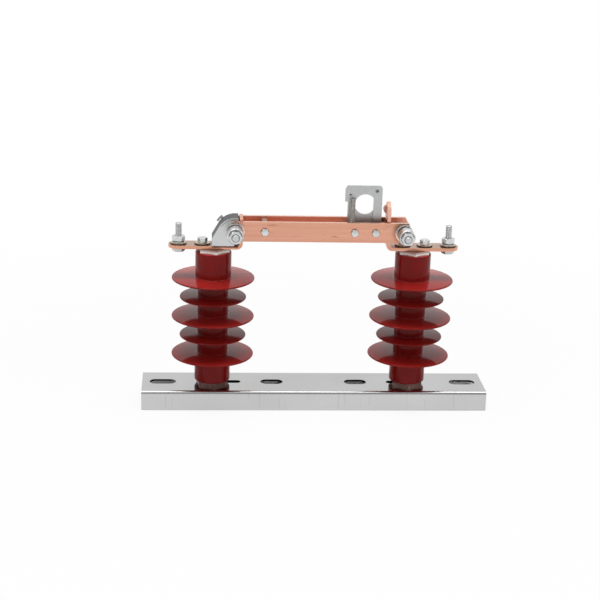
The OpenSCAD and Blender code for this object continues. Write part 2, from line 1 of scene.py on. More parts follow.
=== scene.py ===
"""Looks of a single-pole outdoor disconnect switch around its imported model. Metres, Z up."""

import json
import math

import bpy
import numpy as np
from mathutils import Matrix, Vector


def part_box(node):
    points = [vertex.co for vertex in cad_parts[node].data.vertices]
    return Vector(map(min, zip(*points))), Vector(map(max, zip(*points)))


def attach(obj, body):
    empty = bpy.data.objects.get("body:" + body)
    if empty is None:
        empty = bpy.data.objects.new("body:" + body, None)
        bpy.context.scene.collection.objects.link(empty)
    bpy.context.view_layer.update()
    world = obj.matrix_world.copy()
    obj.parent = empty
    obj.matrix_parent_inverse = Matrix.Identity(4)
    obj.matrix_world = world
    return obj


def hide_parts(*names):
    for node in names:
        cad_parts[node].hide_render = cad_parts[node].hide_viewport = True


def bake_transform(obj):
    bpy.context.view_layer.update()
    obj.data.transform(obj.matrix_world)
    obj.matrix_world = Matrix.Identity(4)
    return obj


MM = 0.001
TAU = 2 * math.pi

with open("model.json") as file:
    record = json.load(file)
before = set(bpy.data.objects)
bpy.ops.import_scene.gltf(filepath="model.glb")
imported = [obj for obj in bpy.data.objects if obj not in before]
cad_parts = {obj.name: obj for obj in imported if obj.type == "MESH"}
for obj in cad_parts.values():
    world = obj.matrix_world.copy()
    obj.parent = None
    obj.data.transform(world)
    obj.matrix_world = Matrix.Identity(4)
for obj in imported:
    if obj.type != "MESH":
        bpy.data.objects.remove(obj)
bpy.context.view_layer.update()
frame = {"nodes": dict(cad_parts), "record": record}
nodes = frame["nodes"]

PIVOTS = ("hinge", "clamp")
POSTS = ("hinge", "contact")
SMALL_BOLTS = ("spacer_bolt", "eye_bolt", "latch_bolt")


def middle_of(node):
    """Middle, lowest and highest corner of a node."""
    low, high = (np.array(corner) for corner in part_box(node))
    return (low + high) / 2, low, high


def add_object(name, data):
    item = bpy.data.objects.new(name, data)
    bpy.context.scene.collection.objects.link(item)
    return item


def grey(level):
    return (level, level, level)


# Node graph helpers

class Graph:
    """A node tree with short calls for its common nodes. A value is a number or a socket."""

    def __init__(self, tree):
        self.tree = tree

    def add(self, kind, **settings):
        node = self.tree.nodes.new(kind)
        for key, value in settings.items():
            setattr(node, key, value)
        return node

    def feed(self, socket, value):
        if isinstance(value, bpy.types.NodeSocket):
            self.tree.links.new(value, socket)
        else:
            socket.default_value = value

    def math(self, operation, a, b=0.0):
        node = self.add("ShaderNodeMath", operation=operation)
        self.feed(node.inputs[0], a)
        self.feed(node.inputs[1], b)
        return node.outputs["Value"]

    def plus(self, a, b):
        return self.math("ADD", a, b)

    def minus(self, a, b):
        return self.math("SUBTRACT", a, b)

    def times(self, product, *factors):
        for factor in factors:
            product = self.math("MULTIPLY", product, factor)
        return product

    def size(self, value):
        return self.math("ABSOLUTE", value)

    def above(self, value, limit):
        return self.math("GREATER_THAN", value, limit)

    def below(self, value, limit):
        return self.math("LESS_THAN", value, limit)

    def distance(self, a, b):
        return self.math("POWER", self.plus(self.times(a, a), self.times(b, b)), 0.5)

    def spread(self, value, low, high, start=0.3, end=0.7):
        """Low up to the start, high from the end on, and even steps between them."""
        node = self.add("ShaderNodeMapRange")
        self.feed(node.inputs["Value"], value)
        node.inputs["From Min"].default_value = start
        node.inputs["From Max"].default_value = end
        node.inputs["To Min"].default_value = low
        node.inputs["To Max"].default_value = high
        return node.outputs["Result"]

    def axis(self, vector, letter):
        split = self.add("ShaderNodeSeparateXYZ")
        self.feed(split.inputs["Vector"], vector)
        return split.outputs[letter]

    def seen(self):
        """One for rays from the eye, a mirror or glass, and zero for rays that only carry light."""
        path = self.add("ShaderNodeLightPath").outputs
        direct = self.math("MAXIMUM", path["Is Camera Ray"], path["Is Glossy Ray"])
        return self.math("MAXIMUM", direct, path["Is Transmission Ray"])


# sockets of the mix node by number, because its other kinds of data use the same names
COLOUR_A = 6
COLOUR_B = 7
MIXED_COLOUR = 2


class Finish(Graph):
    """One procedural material, built on object coordinates so that its grain keeps its real scale."""

    def __init__(self, name, metallic=1.0):
        self.material = bpy.data.materials.new(name)
        self.material.use_nodes = True
        super().__init__(self.material.node_tree)
        self.shader = self.tree.nodes["Principled BSDF"]
        self.shader.inputs["Metallic"].default_value = metallic
        coordinates = self.add("ShaderNodeTexCoord")
        self.position = coordinates.outputs["Object"]
        self.normal = coordinates.outputs["Normal"]

    def place(self, letter):
        return self.axis(self.position, letter)

    def facing(self, letter):
        return self.axis(self.normal, letter)

    def noise(self, scale, stretch=(1, 1, 1), detail=3.0, roughness=0.55):
        mapping = self.add("ShaderNodeMapping")
        self.feed(mapping.inputs["Vector"], self.position)
        mapping.inputs["Scale"].default_value = stretch
        noise = self.add("ShaderNodeTexNoise")
        self.feed(noise.inputs["Vector"], mapping.outputs["Vector"])
        noise.inputs["Scale"].default_value = scale
        noise.inputs["Detail"].default_value = detail
        noise.inputs["Roughness"].default_value = roughness
        return noise.outputs["Fac"]

    def blend(self, amount, a, b):
        node = self.add("ShaderNodeMix", data_type="RGBA")
        self.feed(node.inputs["Factor"], amount)
        for socket, value in ((node.inputs[COLOUR_A], a), (node.inputs[COLOUR_B], b)):
            self.feed(socket, value if isinstance(value, bpy.types.NodeSocket) else (*value, 1))
        return node.outputs[MIXED_COLOUR]

    def mottled(self, noise, a, b, start=0.3, end=0.7):
        return self.blend(self.spread(noise, 0.0, 1.0, start, end), a, b)

    def ring(self, node, inside, outside):
        """One up to the inside radius around a cross bolt's line, falling to zero at the outside radius."""
        middle = middle_of(node)[0]
        across = self.minus(self.place("X"), float(middle[0]))
        up = self.minus(self.place("Z"), float(middle[2]))
        return self.spread(self.distance(across, up), 1.0, 0.0, inside, outside)

    def bump(self, height, depth):
        node = self.add("ShaderNodeBump")
        self.feed(node.inputs["Height"], height)
        node.inputs["Distance"].default_value = depth
        node.inputs["Strength"].default_value = 1.0
        self.feed(self.shader.inputs["Normal"], node.outputs["Normal"])

    def finished(self, tone, rough):
        self.feed(self.shader.inputs["Base Color"], tone)
        self.feed(self.shader.inputs["Roughness"], rough)
        return self.material


# Finishes of steel

# the noise scale that spangled zinc plating shares
SPANGLE = 330.0
# how far a mask reaches past the face that bounds it
SKIN = MM / 10
SHADE = grey(0.08)
SLOTS_WITHIN_X = 255 * MM
SLOTS_WITHIN_Y = 30 * MM
LATCH_HOLE_IN = 8 * MM


def polished_base():
    f = Finish("polished_base")
    haze = f.noise(9.0, detail=5.0)
    brushed = f.noise(60.0, stretch=(0.35, 9.0, 9.0), detail=2.0)
    drip = f.noise(70.0, stretch=(3.0, 1.0, 0.15))
    sideways = f.size(f.facing("Y"))
    flank = f.spread(sideways, 0.0, 1.0, 0.7, 0.95)
    top_tone = f.mottled(haze, (0.46, 0.46, 0.457), grey(0.53))
    flank_tone = f.mottled(haze, grey(0.55), grey(0.6))
    tone = f.blend(flank, top_tone, flank_tone)
    drip_marks = f.times(f.spread(drip, 0.0, 0.45, 0.6, 0.74), flank)
    tone = f.blend(drip_marks, tone, (0.36, 0.36, 0.37))
    # painted shade: the punched sides of the slots are painted near black, for the shade inside them
    shaded_slot_wall = f.below(f.size(f.facing("Z")), 0.4)
    inside_x = f.below(f.size(f.place("X")), SLOTS_WITHIN_X)
    inside_y = f.below(f.size(f.place("Y")), SLOTS_WITHIN_Y)
    tone = f.blend(f.times(shaded_slot_wall, inside_x, inside_y), tone, grey(0.09))
    rough = f.plus(f.spread(haze, 0.07, 0.12), f.spread(brushed, 0.0, 0.04))
    rough = f.plus(rough, f.spread(sideways, 0.0, 0.13, 0.1, 0.5))
    f.bump(brushed, 0.02 * MM)
    return f.finished(tone, rough)


def sheet_steel():
    f = Finish("sheet_steel")
    mottle = f.noise(140.0, detail=6.0)
    grain = f.noise(700.0, stretch=(1.0, 1.0, 0.08))
    tone = f.mottled(mottle, (0.50, 0.51, 0.51), (0.58, 0.59, 0.59))
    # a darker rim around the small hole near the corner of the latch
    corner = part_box("pull_latch")[1]
    across = f.minus(f.place("X"), corner[0] - LATCH_HOLE_IN)
    up = f.minus(f.place("Z"), corner[2] - LATCH_HOLE_IN)
    rim = f.spread(f.distance(across, up), 0.6, 0.0, 2.4 * MM, 3.6 * MM)
    tone = f.blend(rim, tone, grey(0.16))
    rough = f.plus(f.spread(mottle, 0.34, 0.44), f.spread(grain, 0.0, 0.06))
    f.bump(grain, 0.02 * MM)
    return f.finished(tone, rough)


def bracket_steel():
    """Bright cheeks with a dark strip folded over them."""
    f = Finish("bracket_steel")
    mottle = f.noise(120.0, detail=6.0)
    grain = f.noise(600.0, stretch=(0.1, 1.0, 1.0))
    cheek = f.spread(f.size(f.facing("Y")), 0.0, 1.0, 0.45, 0.75)
    strip_tone = f.mottled(mottle, (0.12, 0.12, 0.122), (0.19, 0.19, 0.192))
    cheek_tone = f.mottled(mottle, (0.6, 0.62, 0.62), (0.68, 0.69, 0.69))
    rough = f.plus(f.spread(mottle, 0.3, 0.42), f.spread(cheek, 0.25, 0.0, 0.0, 1.0))
    f.bump(grain, 0.02 * MM)
    return f.finished(f.blend(cheek, strip_tone, cheek_tone), rough)


def zinc_plate():
    f = Finish("zinc_plate")
    spangle = f.noise(SPANGLE, detail=5.0)
    tone = f.mottled(f.noise(70.0), (0.68, 0.69, 0.69), (0.78, 0.79, 0.8))
    # shade between the thread and the nut of each pivot
    for pivot in PIVOTS:
        shade = f.ring(pivot + "_bolt", 5.6 * MM, 6.6 * MM)
        tone = f.blend(f.times(shade, 0.85), tone, SHADE)
    f.bump(spangle, 0.03 * MM)
    return f.finished(tone, f.spread(spangle, 0.36, 0.5))


def pressed_cup():
    f = Finish("pressed_cup")
    spangle = f.noise(SPANGLE, detail=5.0)
    cloud = f.noise(170.0, detail=4.0, roughness=0.65)
    tone = f.mottled(cloud, (0.5, 0.51, 0.51), (0.78, 0.79, 0.79), 0.4, 0.6)
    # painted shade: the open rim is painted near black, matt and not metallic, for the shadow in the gap
    # where the cup meets the bar; and shade around the nut on the closed end
    low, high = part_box("hinge_spring_cup")
    rim = f.spread(f.place("Y"), 0.0, 1.0, high[1] - 7 * MM, high[1] - 6 * MM)
    tone = f.blend(rim, tone, (0.015, 0.016, 0.016))
    closed_end = f.below(f.place("Y"), low[1] + SKIN)
    for pivot in PIVOTS:
        shade = f.times(f.ring(pivot + "_bolt", 9.6 * MM, 10.6 * MM), closed_end)
        tone = f.blend(f.times(shade, 0.8), tone, SHADE)
    f.bump(spangle, 0.02 * MM)
    # the painted shade on the open rim is neither metallic nor shiny
    f.feed(f.shader.inputs["Metallic"], f.minus(1.0, rim))
    return f.finished(tone, f.plus(f.spread(spangle, 0.24, 0.36), f.times(rim, 0.6)))


def flat_washer():
    f = Finish("flat_washer")
    spangle = f.noise(SPANGLE, detail=5.0)
    cloud = f.noise(110.0, detail=4.0)
    face_tone = f.mottled(cloud, (0.5, 0.44, 0.36), (0.62, 0.56, 0.47))
    # painted shadow: the rim of each washer is painted dark brown, for the shadow line under it
    painted_shadow_tone = f.mottled(cloud, (0.1, 0.06, 0.045), (0.17, 0.1, 0.075))
    face = f.spread(f.facing("Z"), 0.0, 1.0, 0.6, 0.9)
    f.bump(spangle, 0.03 * MM)
    return f.finished(f.blend(face, painted_shadow_tone, face_tone), f.spread(spangle, 0.3, 0.45))


def split_washer(node):
    f = Finish(node)
    spangle = f.noise(SPANGLE, detail=5.0)
    tone = f.mottled(spangle, (0.66, 0.66, 0.64), (0.78, 0.78, 0.76))
    # the gap under the head above it lies in shade
    low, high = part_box(node)
    gap = f.spread(f.place("Z"), 0.0, 0.95, (low[2] + high[2]) / 2, (low[2] + 3 * high[2]) / 4)
    tone = f.blend(gap, tone, (0.05, 0.05, 0.045))
    f.bump(spangle, 0.03 * MM)
    return f.finished(tone, f.spread(spangle, 0.36, 0.5))


def rolled_thread():
    f = Finish("rolled_thread")
    cloud = f.noise(150.0, detail=4.0)
    tone = f.mottled(cloud, (0.58, 0.59, 0.59), (0.7, 0.71, 0.71))
    return f.finished(tone, f.spread(cloud, 0.42, 0.55))


def spring_wire():
    f = Finish("spring_wire")
    drawn = f.noise(420.0, detail=4.0)
    tone = f.mottled(drawn, (0.36, 0.35, 0.32), (0.55, 0.535, 0.5))
    return f.finished(tone, f.spread(drawn, 0.25, 0.42))


# Finishes of the posts

RUBBER_IOR = 1.23


def cast_fitting():
    f = Finish("cast_fitting")
    grit = f.noise(420.0, detail=6.0)
    tone = f.mottled(f.noise(60.0), (0.66, 0.62, 0.59), (0.8, 0.77, 0.74))
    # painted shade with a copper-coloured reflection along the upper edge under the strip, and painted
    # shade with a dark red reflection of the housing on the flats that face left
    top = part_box("hinge_post_cap")[1][2]
    edge = f.spread(f.place("Z"), 0.0, 0.75, top - 3.5 * MM, top - 1.5 * MM)
    tone = f.blend(edge, tone, (0.3, 0.15, 0.11))
    shaded_left_flats = f.spread(f.facing("X"), 1.0, 0.0, -0.75, -0.3)
    tone = f.blend(shaded_left_flats, tone, (0.16, 0.03, 0.025))
    f.bump(grit, 0.06 * MM)
    return f.finished(tone, f.spread(grit, 0.22, 0.4))


def shaded_foot():
    f = Finish("shaded_foot")
    grit = f.noise(260.0, detail=6.0)
    # painted shade with a red reflection of the housing: the foot is painted dark red-brown, with pale
    # specks as painted glints
    tone = f.mottled(f.noise(90.0, detail=4.0), (0.13, 0.068, 0.06), (0.29, 0.165, 0.145))
    painted_glint = f.noise(310.0, stretch=(1.0, 1.0, 1.6), detail=2.0)
    tone = f.mottled(painted_glint, tone, (0.72, 0.7, 0.66), 0.66, 0.72)
    f.bump(grit, 0.2 * MM)
    return f.finished(tone, f.spread(grit, 0.28, 0.5))


def silicone_rubber():
    f = Finish("silicone_rubber", metallic=0.0)
    cloud = f.noise(34.0, detail=4.0)
    haze = f.noise(160.0, detail=5.0)
    deep = f.mottled(cloud, (0.26, 0.008, 0.006), (0.3, 0.011, 0.008))
    # painted light: faces that face up are a lighter red than the sides, as painted light from above
    lit_tone = f.mottled(cloud, (0.33, 0.016, 0.013), (0.37, 0.021, 0.018))
    tone = f.blend(f.spread(f.facing("Z"), 0.0, 1.0, 0.3, 0.9), deep, lit_tone)
    f.bump(f.noise(520.0), 0.01 * MM)
    f.shader.inputs["IOR"].default_value = RUBBER_IOR
    return f.finished(tone, f.spread(haze, 0.08, 0.13))


# Finishes of copper

def copper_grain(f, streak, spot):
    """Drawn copper with warm and cool patches, streaks, spots and scratches from rubbing."""
    patch = f.noise(22.0, stretch=(0.6, 1.0, 1.0))
    scratch = f.noise(48.0, stretch=(0.5, 3.0, 2.2), detail=6.0, roughness=0.7)
    tone = f.mottled(patch, (0.74, 0.41, 0.26), (0.77, 0.385, 0.285))
    tone = f.blend(f.spread(streak, 0.0, 0.5), tone, (0.64, 0.30, 0.19))
    tone = f.blend(f.spread(spot, 0.0, 0.5, 0.68, 0.8), tone, (0.42, 0.16, 0.09))
    return f.blend(f.spread(scratch, 0.0, 0.85, 0.6, 0.68), tone, (0.47, 0.24, 0.13))


def copper_edges(f, tone, bars, strips):
    """Edges that face up get a painted highlight on the bars, painted shade on the strips and darker
    painted shade on what else is copper.
    """
    upward = f.spread(f.facing("Z"), 0.0, 0.8, 0.6, 0.95)
    painted_top_tone = f.blend(strips, (0.3, 0.14, 0.09), (0.44, 0.32, 0.26))
    painted_top_tone = f.blend(bars, painted_top_tone, (0.84, 0.54, 0.43))
    return f.blend(upward, tone, painted_top_tone)


def copper_bolt_marks(f, tone, bars, inner_face):
    """A pale ring at the pivots, painted shade around the clamp, a painted reflection over the bars' end at
    the hinge and painted shade rings around the small heads.
    """
    outward = f.times(f.place("Y"), f.facing("Y"))
    outer_face = f.above(outward, inner_face / 2)
    outside = f.above(outward, -inner_face / 2)
    # painted shade: darker copper on the bar around the clamp's cup
    clamp_shade = f.times(f.ring("clamp_bolt", 15 * MM, 21 * MM), outer_face)
    tone = f.blend(f.times(clamp_shade, 0.75), tone, (0.42, 0.18, 0.12))
    for pivot in PIVOTS:
        pale_ring = f.times(f.ring(pivot + "_bolt", 13.6 * MM, 14.6 * MM), outer_face)
        tone = f.blend(pale_ring, tone, (0.9, 0.76, 0.68))
    # painted reflection: the bars' end past the hinge is painted pale, for the reflection of the bracket
    hinge_x = float(middle_of("hinge_bolt")[0][0])
    bar_end = f.times(f.below(f.place("X"), hinge_x - 2 * MM), bars, outside)
    tone = f.blend(bar_end, tone, (0.8, 0.7, 0.64))
    for bolt_node in SMALL_BOLTS:
        # painted shade: a dark ring around each small head
        head_shade = f.times(f.ring(bolt_node, 5.2 * MM, 6.8 * MM), outer_face)
        tone = f.blend(f.times(head_shade, 0.7), tone, (0.2, 0.1, 0.07))
    return tone


def copper_painted_shade(f, tone, rear_bar, strips):
    """Painted shade: a dark line under the bracket's foot, and a brown patch of painted shade and
    reflection beside the contact.
    """
    low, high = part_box("hinge_bracket")
    # painted shadow where the bracket's foot sits on the strip
    line = f.spread(f.place("Z"), 0.0, 0.95, low[2] - 2.3 * MM, low[2] - 1.7 * MM)
    line = f.times(line, strips, f.above(f.place("X"), low[0]), f.below(f.place("X"), high[0]))
    tone = f.blend(line, tone, (0.12, 0.025, 0.02))
    # painted shade with the latch's reflection on the inner face of the rear bar, beside the contact
    latch_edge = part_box("pull_latch")[1][0]
    patch = f.spread(f.size(f.minus(f.place("X"), latch_edge)), 0.8, 0.0, 5 * MM, 9 * MM)
    patch = f.times(patch, f.below(f.facing("Y"), -0.5), rear_bar)
    return f.blend(patch, tone, (0.2, 0.13, 0.09))


def drawn_copper():
    f = Finish("drawn_copper")
    streak = f.noise(26.0, stretch=(0.22, 7.0, 7.0), detail=5.0)
    spot = f.noise(240.0, stretch=(0.5, 1.0, 1.0), detail=4.0)
    drawn_line = f.noise(90.0, stretch=(0.15, 9.0, 9.0), detail=2.0)
    low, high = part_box("rear_blade_bar")
    rear_bar = f.above(f.place("Y"), low[1] - SKIN)
    bars = f.above(f.size(f.place("Y")), low[1] - SKIN)
    strips = f.below(f.place("Z"), low[2])
    upright = f.above(f.place("Z"), high[2] + MM)
    tone = f.blend(rear_bar, copper_grain(f, streak, spot), (0.95, 0.53, 0.4))
    tone = copper_edges(f, tone, bars, strips)
    tone = copper_bolt_marks(f, tone, bars, low[1])
    tone = copper_painted_shade(f, tone, rear_bar, strips)
    # the upright above the bars is pale and matt, and its faces that face up are painted a darker copper
    # than its sides, as painted shade
    shaded_shoulder = f.spread(f.facing("Z"), 0.0, 1.0, 0.25, 0.75)
    tone = f.blend(upright, tone, f.blend(shaded_shoulder, (0.93, 0.6, 0.49), (0.72, 0.46, 0.36)))
    rough = f.plus(f.spread(streak, 0.24, 0.36), f.spread(spot, 0.0, 0.06))
    rough = f.plus(rough, f.times(upright, 0.3))
    f.bump(drawn_line, 0.03 * MM)
    return f.finished(tone, rough)


def tarnished_copper():
    f = Finish("tarnished_copper")
    spot = f.noise(520.0)
    tone = f.mottled(f.noise(160.0, detail=4.0), (0.4, 0.19, 0.14), (0.62, 0.36, 0.29))
    f.bump(spot, 0.03 * MM)
    return f.finished(tone, f.spread(spot, 0.3, 0.45))


# Which node has which finish

MATERIALS = {
    "stainless_base": polished_base(),
    "stainless_sheet": sheet_steel(),
    "bracket": bracket_steel(),
    "zinc_plated_steel": zinc_plate(),
    "cup": pressed_cup(),
    "washer": flat_washer(),
    "terminal_split": split_washer("terminal_spring_washers"),
    "plate_split": split_washer("plate_spring_washers"),
    "thread": rolled_thread(),
    "fitting": cast_fitting(),
    "foot": shaded_foot(),
    "copper": drawn_copper(),
    "catch": tarnished_copper(),
    "silicone_rubber": silicone_rubber(),
    "spring_steel": spring_wire(),
}
SLOT_OF = {part["node"]: part["material_slot"] for part in frame["record"]["subparts"]}
# nodes whose finish differs from that of their slot
SPECIAL = {
    "hinge_bracket": "bracket",
    "terminal_bolts": "thread",
    "contact_catch": "catch",
    "post_washers": "washer",
}
for pivot in PIVOTS:
    SPECIAL[pivot + "_spring_cup"] = "cup"
    SPECIAL[pivot + "_bolt"] = "thread"
for fixing in ("terminal", "plate"):
    SPECIAL[fixing + "_washers"] = "washer"
    SPECIAL[fixing + "_spring_washers"] = fixing + "_split"
for post in POSTS:
    SPECIAL[post + "_post_cap"] = "fitting"
    SPECIAL[post + "_post_foot"] = "foot"


def material_of(name):
    return MATERIALS[SPECIAL.get(name, SLOT_OF[name])]


for name, node in nodes.items():
    node.data.materials.clear()
    node.data.materials.append(material_of(name))


# Soft edges on the solids

EDGE = {
    "stainless_base": 0.5 * MM,
    "copper": 0.5 * MM,
    "zinc_plated_steel": 0.25 * MM,
    "stainless_sheet": 0.3 * MM,
}
EDGE_ANGLE = math.radians(40)
EDGE_SEGMENTS = 2
FLAT_WITHIN = math.radians(0.3)
WELD_WITHIN = 0.002 * MM
FACE_WEIGHT = 100


def soften(node, width):
    weld = node.modifiers.new("weld", "WELD")
    weld.merge_threshold = WELD_WITHIN
    planes = node.modifiers.new("planes", "DECIMATE")
    planes.decimate_type = "DISSOLVE"
    planes.angle_limit = FLAT_WITHIN
    bevel = node.modifiers.new("edges", "BEVEL")
    bevel.width = width
    bevel.segments = EDGE_SEGMENTS
    bevel.limit_method = "ANGLE"
    bevel.angle_limit = EDGE_ANGLE
    bevel.use_clamp_overlap = True
    normals = node.modifiers.new("normals", "WEIGHTED_NORMAL")
    normals.weight = FACE_WEIGHT


for name, node in nodes.items():
    if SLOT_OF[name] in EDGE:
        soften(node, EDGE[SLOT_OF[name]])


# Mesh helpers

SHARP_FROM = math.radians(38)


def ring_faces(rows, columns, first):
    """Walls between rings of points and a cap on each end, counted from the first point."""
    index = first + np.arange(rows * columns).reshape(rows, columns)
    low, high = index[:-1], index[1:]
    walls = np.stack([low, np.roll(low, -1, 1), np.roll(high, -1, 1), high], axis=-1).reshape(-1, 4)
    return walls.tolist() + [index[0][::-1].tolist(), index[-1].tolist()]


def add_piece(name, shells, replaced, body="frame"):
    """One mesh from several closed skins, each of rings in metres, standing for the named solid."""
    points, faces = [], []
    for rings in shells:
        faces += ring_faces(rings.shape[0], rings.shape[1], sum(len(p) for p in points))
        points.append(rings.reshape(-1, 3))
    mesh = bpy.data.meshes.new(name)
    mesh.from_pydata(np.concatenate(points).tolist(), [], faces)
    mesh.shade_smooth()
    mesh.set_sharp_from_angle(angle=SHARP_FROM)
    mesh.materials.append(material_of(replaced))
    piece = add_object(name, mesh)
    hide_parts(replaced)
    if body:
        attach(piece, body)
    return piece


def turned(heights, radius, columns):
    """Rings along local Z, where radius is a function of angle and height."""
    angle, height = np.meshgrid(np.arange(columns) / columns * TAU, heights)
    reach = radius(angle, height)
    return np.stack([reach * np.cos(angle), reach * np.sin(angle), height], axis=-1)


def placed(rings, at, towards):
    """Turns local +Z up, to the front or to the back, and moves the origin."""
    x, y, z = rings[..., 0], rings[..., 1], rings[..., 2]
    turn = {"up": (x, y, z), "front": (x, -z, y), "back": (x, z, -y)}[towards]
    return np.stack(turn, axis=-1) + np.array(at)


# Bolts with threads

LARGE = {"flats": 17 * MM, "head": 6.4 * MM, "d": 10 * MM, "pitch": 1.5 * MM}
SMALL = {"flats": 10 * MM, "head": 4 * MM, "d": 6 * MM, "pitch": 1.0 * MM}
TERMINAL_THREAD = 29 * MM
PIVOT_THREAD = 16 * MM
SMALL_THREAD = 10 * MM

# the chamfer of a head: its top circle as a share of the flats, its slope and the share with close rings
HEAD_ROUND = 0.95
HEAD_SLOPE = 1.7
HEAD_FINE = 0.3
HEAD_STEPS = 10
HEAD_COLUMNS = 96

# a thread is cut to a share of its pitch, with flat roots and sloped flanks, and chamfered at its tip
THREAD_PLAY = 0.1 * MM
THREAD_DEPTH = 0.55
THREAD_ROOT = 1.2
THREAD_SLOPE = 1.4
THREAD_STEPS = 10
THREAD_COLUMNS = 48
TIP = 0.1


def bolt(at, towards, flats, head, d, length, free, pitch):
    """Hexagonal head behind the origin, plain shank along +Z and a thread over its free end."""
    def hexagon(angle, z):
        side = flats / 2 / np.cos(angle % (TAU / 6) - TAU / 12)
        return np.minimum(side, flats / 2 * HEAD_ROUND + (z + head) * HEAD_SLOPE)

    def thread(angle, z):
        turn = (z / pitch - angle / TAU) % 1.0
        groove = np.clip(THREAD_ROOT - np.abs(2 * turn - 1) * THREAD_SLOPE, 0, 1)
        groove *= np.clip((z - length + free) / pitch, 0, 1)
        tip = d / 2 - TIP * d + length - z
        return np.minimum(d / 2 - THREAD_PLAY - THREAD_DEPTH * pitch * groove, tip)

    top = np.concatenate([-head + np.linspace(0, HEAD_FINE * head, HEAD_STEPS), [0.0]])
    shank = np.concatenate([[-head / 2], np.arange(length - free, length, pitch / THREAD_STEPS), [length]])
    return [placed(turned(top, hexagon, HEAD_COLUMNS), at, towards),
            placed(turned(shank, thread, THREAD_COLUMNS), at, towards)]


def add_terminal_bolts():
    middle, low, high = middle_of("terminal_bolts")
    corner = LARGE["flats"] / 2 / math.cos(TAU / 12)
    under = low[2] + LARGE["head"]
    length = high[2] - under
    shells = []
    for x in (low[0] + corner, high[0] - corner):
        shells += bolt((x, middle[1], under), "up", length=length, free=TERMINAL_THREAD, **LARGE)
    add_piece("threaded_terminal_bolts", shells, "terminal_bolts")


def add_pivot_bolt(node):
    middle, low, high = middle_of(node)
    under = high[1] - LARGE["head"]
    length = under - low[1]
    shells = bolt((middle[0], under, middle[2]), "front", length=length, free=PIVOT_THREAD, **LARGE)
    add_piece("threaded_" + node, shells, node, "blade")


def add_small_bolt(node):
    middle, low, high = middle_of(node)
    under = low[1] + SMALL["head"]
    length = high[1] - under
    shells = bolt((middle[0], under, middle[2]), "back", length=length, free=SMALL_THREAD, **SMALL)
    add_piece("threaded_" + node, shells, node, "blade")


# Springs

WIRE_SIDES = 12
STEPS = 36
# any direction that no wire starts along
ASIDE = (0.31, 0.52, 0.79)


def wire(path, d):
    """Rings of a round wire that follows a path without twisting."""
    path = np.array(path)
    ahead = np.gradient(path, axis=0)
    ahead /= np.linalg.norm(ahead, axis=1)[:, None]
    side = np.cross(ahead[0], ASIDE)
    angle = np.arange(WIRE_SIDES) / WIRE_SIDES * TAU
    rings = []
    for at, along in zip(path, ahead):
        side = side - along * side.dot(along)
        side /= np.linalg.norm(side)
        circle = np.outer(np.cos(angle), side) + np.outer(np.sin(angle), np.cross(along, side))
        rings.append(at + d / 2 * circle)
    return np.array(rings)


LATCH_WIRE = 1.3 * MM
LATCH_COIL = 7.9 * MM
LATCH_PITCH = 1.5 * MM
LATCH_TURNS = 24.5
LATCH_RISE = 4.5 * MM
HOOK_BEND = 1.6 * MM
LEG_STEPS = 12
BEND_STEPS = 8
RISE_STEPS = 8
HOOK_STEPS = 6


def add_latch_spring():
    """A straight leg at the bottom, the close coil, and a hook at the top that turns to the back."""
    middle, low, high = middle_of("latch_spring")
    radius = (LATCH_COIL - LATCH_WIRE) / 2
    at = np.array((middle[0], low[1] + LATCH_COIL / 2, 0))
    hook = high[2] - LATCH_WIRE / 2
    top = hook - LATCH_RISE
    start = top - LATCH_TURNS * LATCH_PITCH
    bend = HOOK_BEND
    quarter = np.linspace(0, TAU / 4, BEND_STEPS)
    path = [(radius, -bend, z) for z in np.linspace(low[2], start - bend, LEG_STEPS)]
    path += [(radius, -bend * math.cos(a), start - bend + bend * math.sin(a)) for a in quarter[1:-1]]
    for i in range(int(LATCH_TURNS * STEPS) + 1):
        a = TAU * i / STEPS
        path.append((radius * math.cos(a), radius * math.sin(a), start + LATCH_PITCH * i / STEPS))
    path += [(-radius, -bend * math.sin(a), top + bend - bend * math.cos(a)) for a in quarter[1:]]
    path += [(-radius, -bend, z) for z in np.linspace(top + bend, hook - bend, RISE_STEPS)[1:]]
    path += [(-radius, -bend * math.cos(a), hook - bend + bend * math.sin(a)) for a in quarter[1:]]
    path += [(-radius, y, hook) for y in np.linspace(0, high[1] - at[1], HOOK_STEPS)[1:]]
    shell = wire(at + np.array(path), LATCH_WIRE)
    piece = add_piece("wound_latch_spring", [shell], "latch_spring", None)
    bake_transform(piece)


CUP_WIRE = 2.2 * MM
CUP_TURNS = 5


def add_cup_spring(node):
    middle, low, high = middle_of(node)
    radius = (high[0] - low[0] - CUP_WIRE) / 2
    first, last = high[1] - CUP_WIRE / 2, low[1] + CUP_WIRE / 2
    path = []
    for i in range(CUP_TURNS * STEPS + 1):
        a = TAU * i / STEPS
        y = first + (last - first) * i / (CUP_TURNS * STEPS)
        path.append((middle[0] + radius * math.cos(a), y, middle[2] + radius * math.sin(a)))
    add_piece("wound_" + node, [wire(path, CUP_WIRE)], node, "blade")


# Moulded housings with a fine parting line

LARGE_SHED = 62 * MM
SMALL_SHED = 50 * MM
SHED_PITCH = 30 * MM
SHED_RIM = 1.25 * MM
SHED_FALL = 0.5 * MM
SHEDS_EACH_WAY = 2
RIM_ANGLES = np.radians(np.arange(-85, 86, 17))
STEM = 23 * MM
END = 27 * MM
END_EDGE = 2 * MM
SOCKET = 22.3 * MM
FILLET = 2 * MM
PARTING_AT = math.radians(20)
PARTING_RISE = 0.07 * MM
PARTING_COLUMNS = np.radians((-1.0, -0.5, 0.0, 0.5, 1.0))
HOUSING_COLUMNS = 160
BOW_STEPS = 7


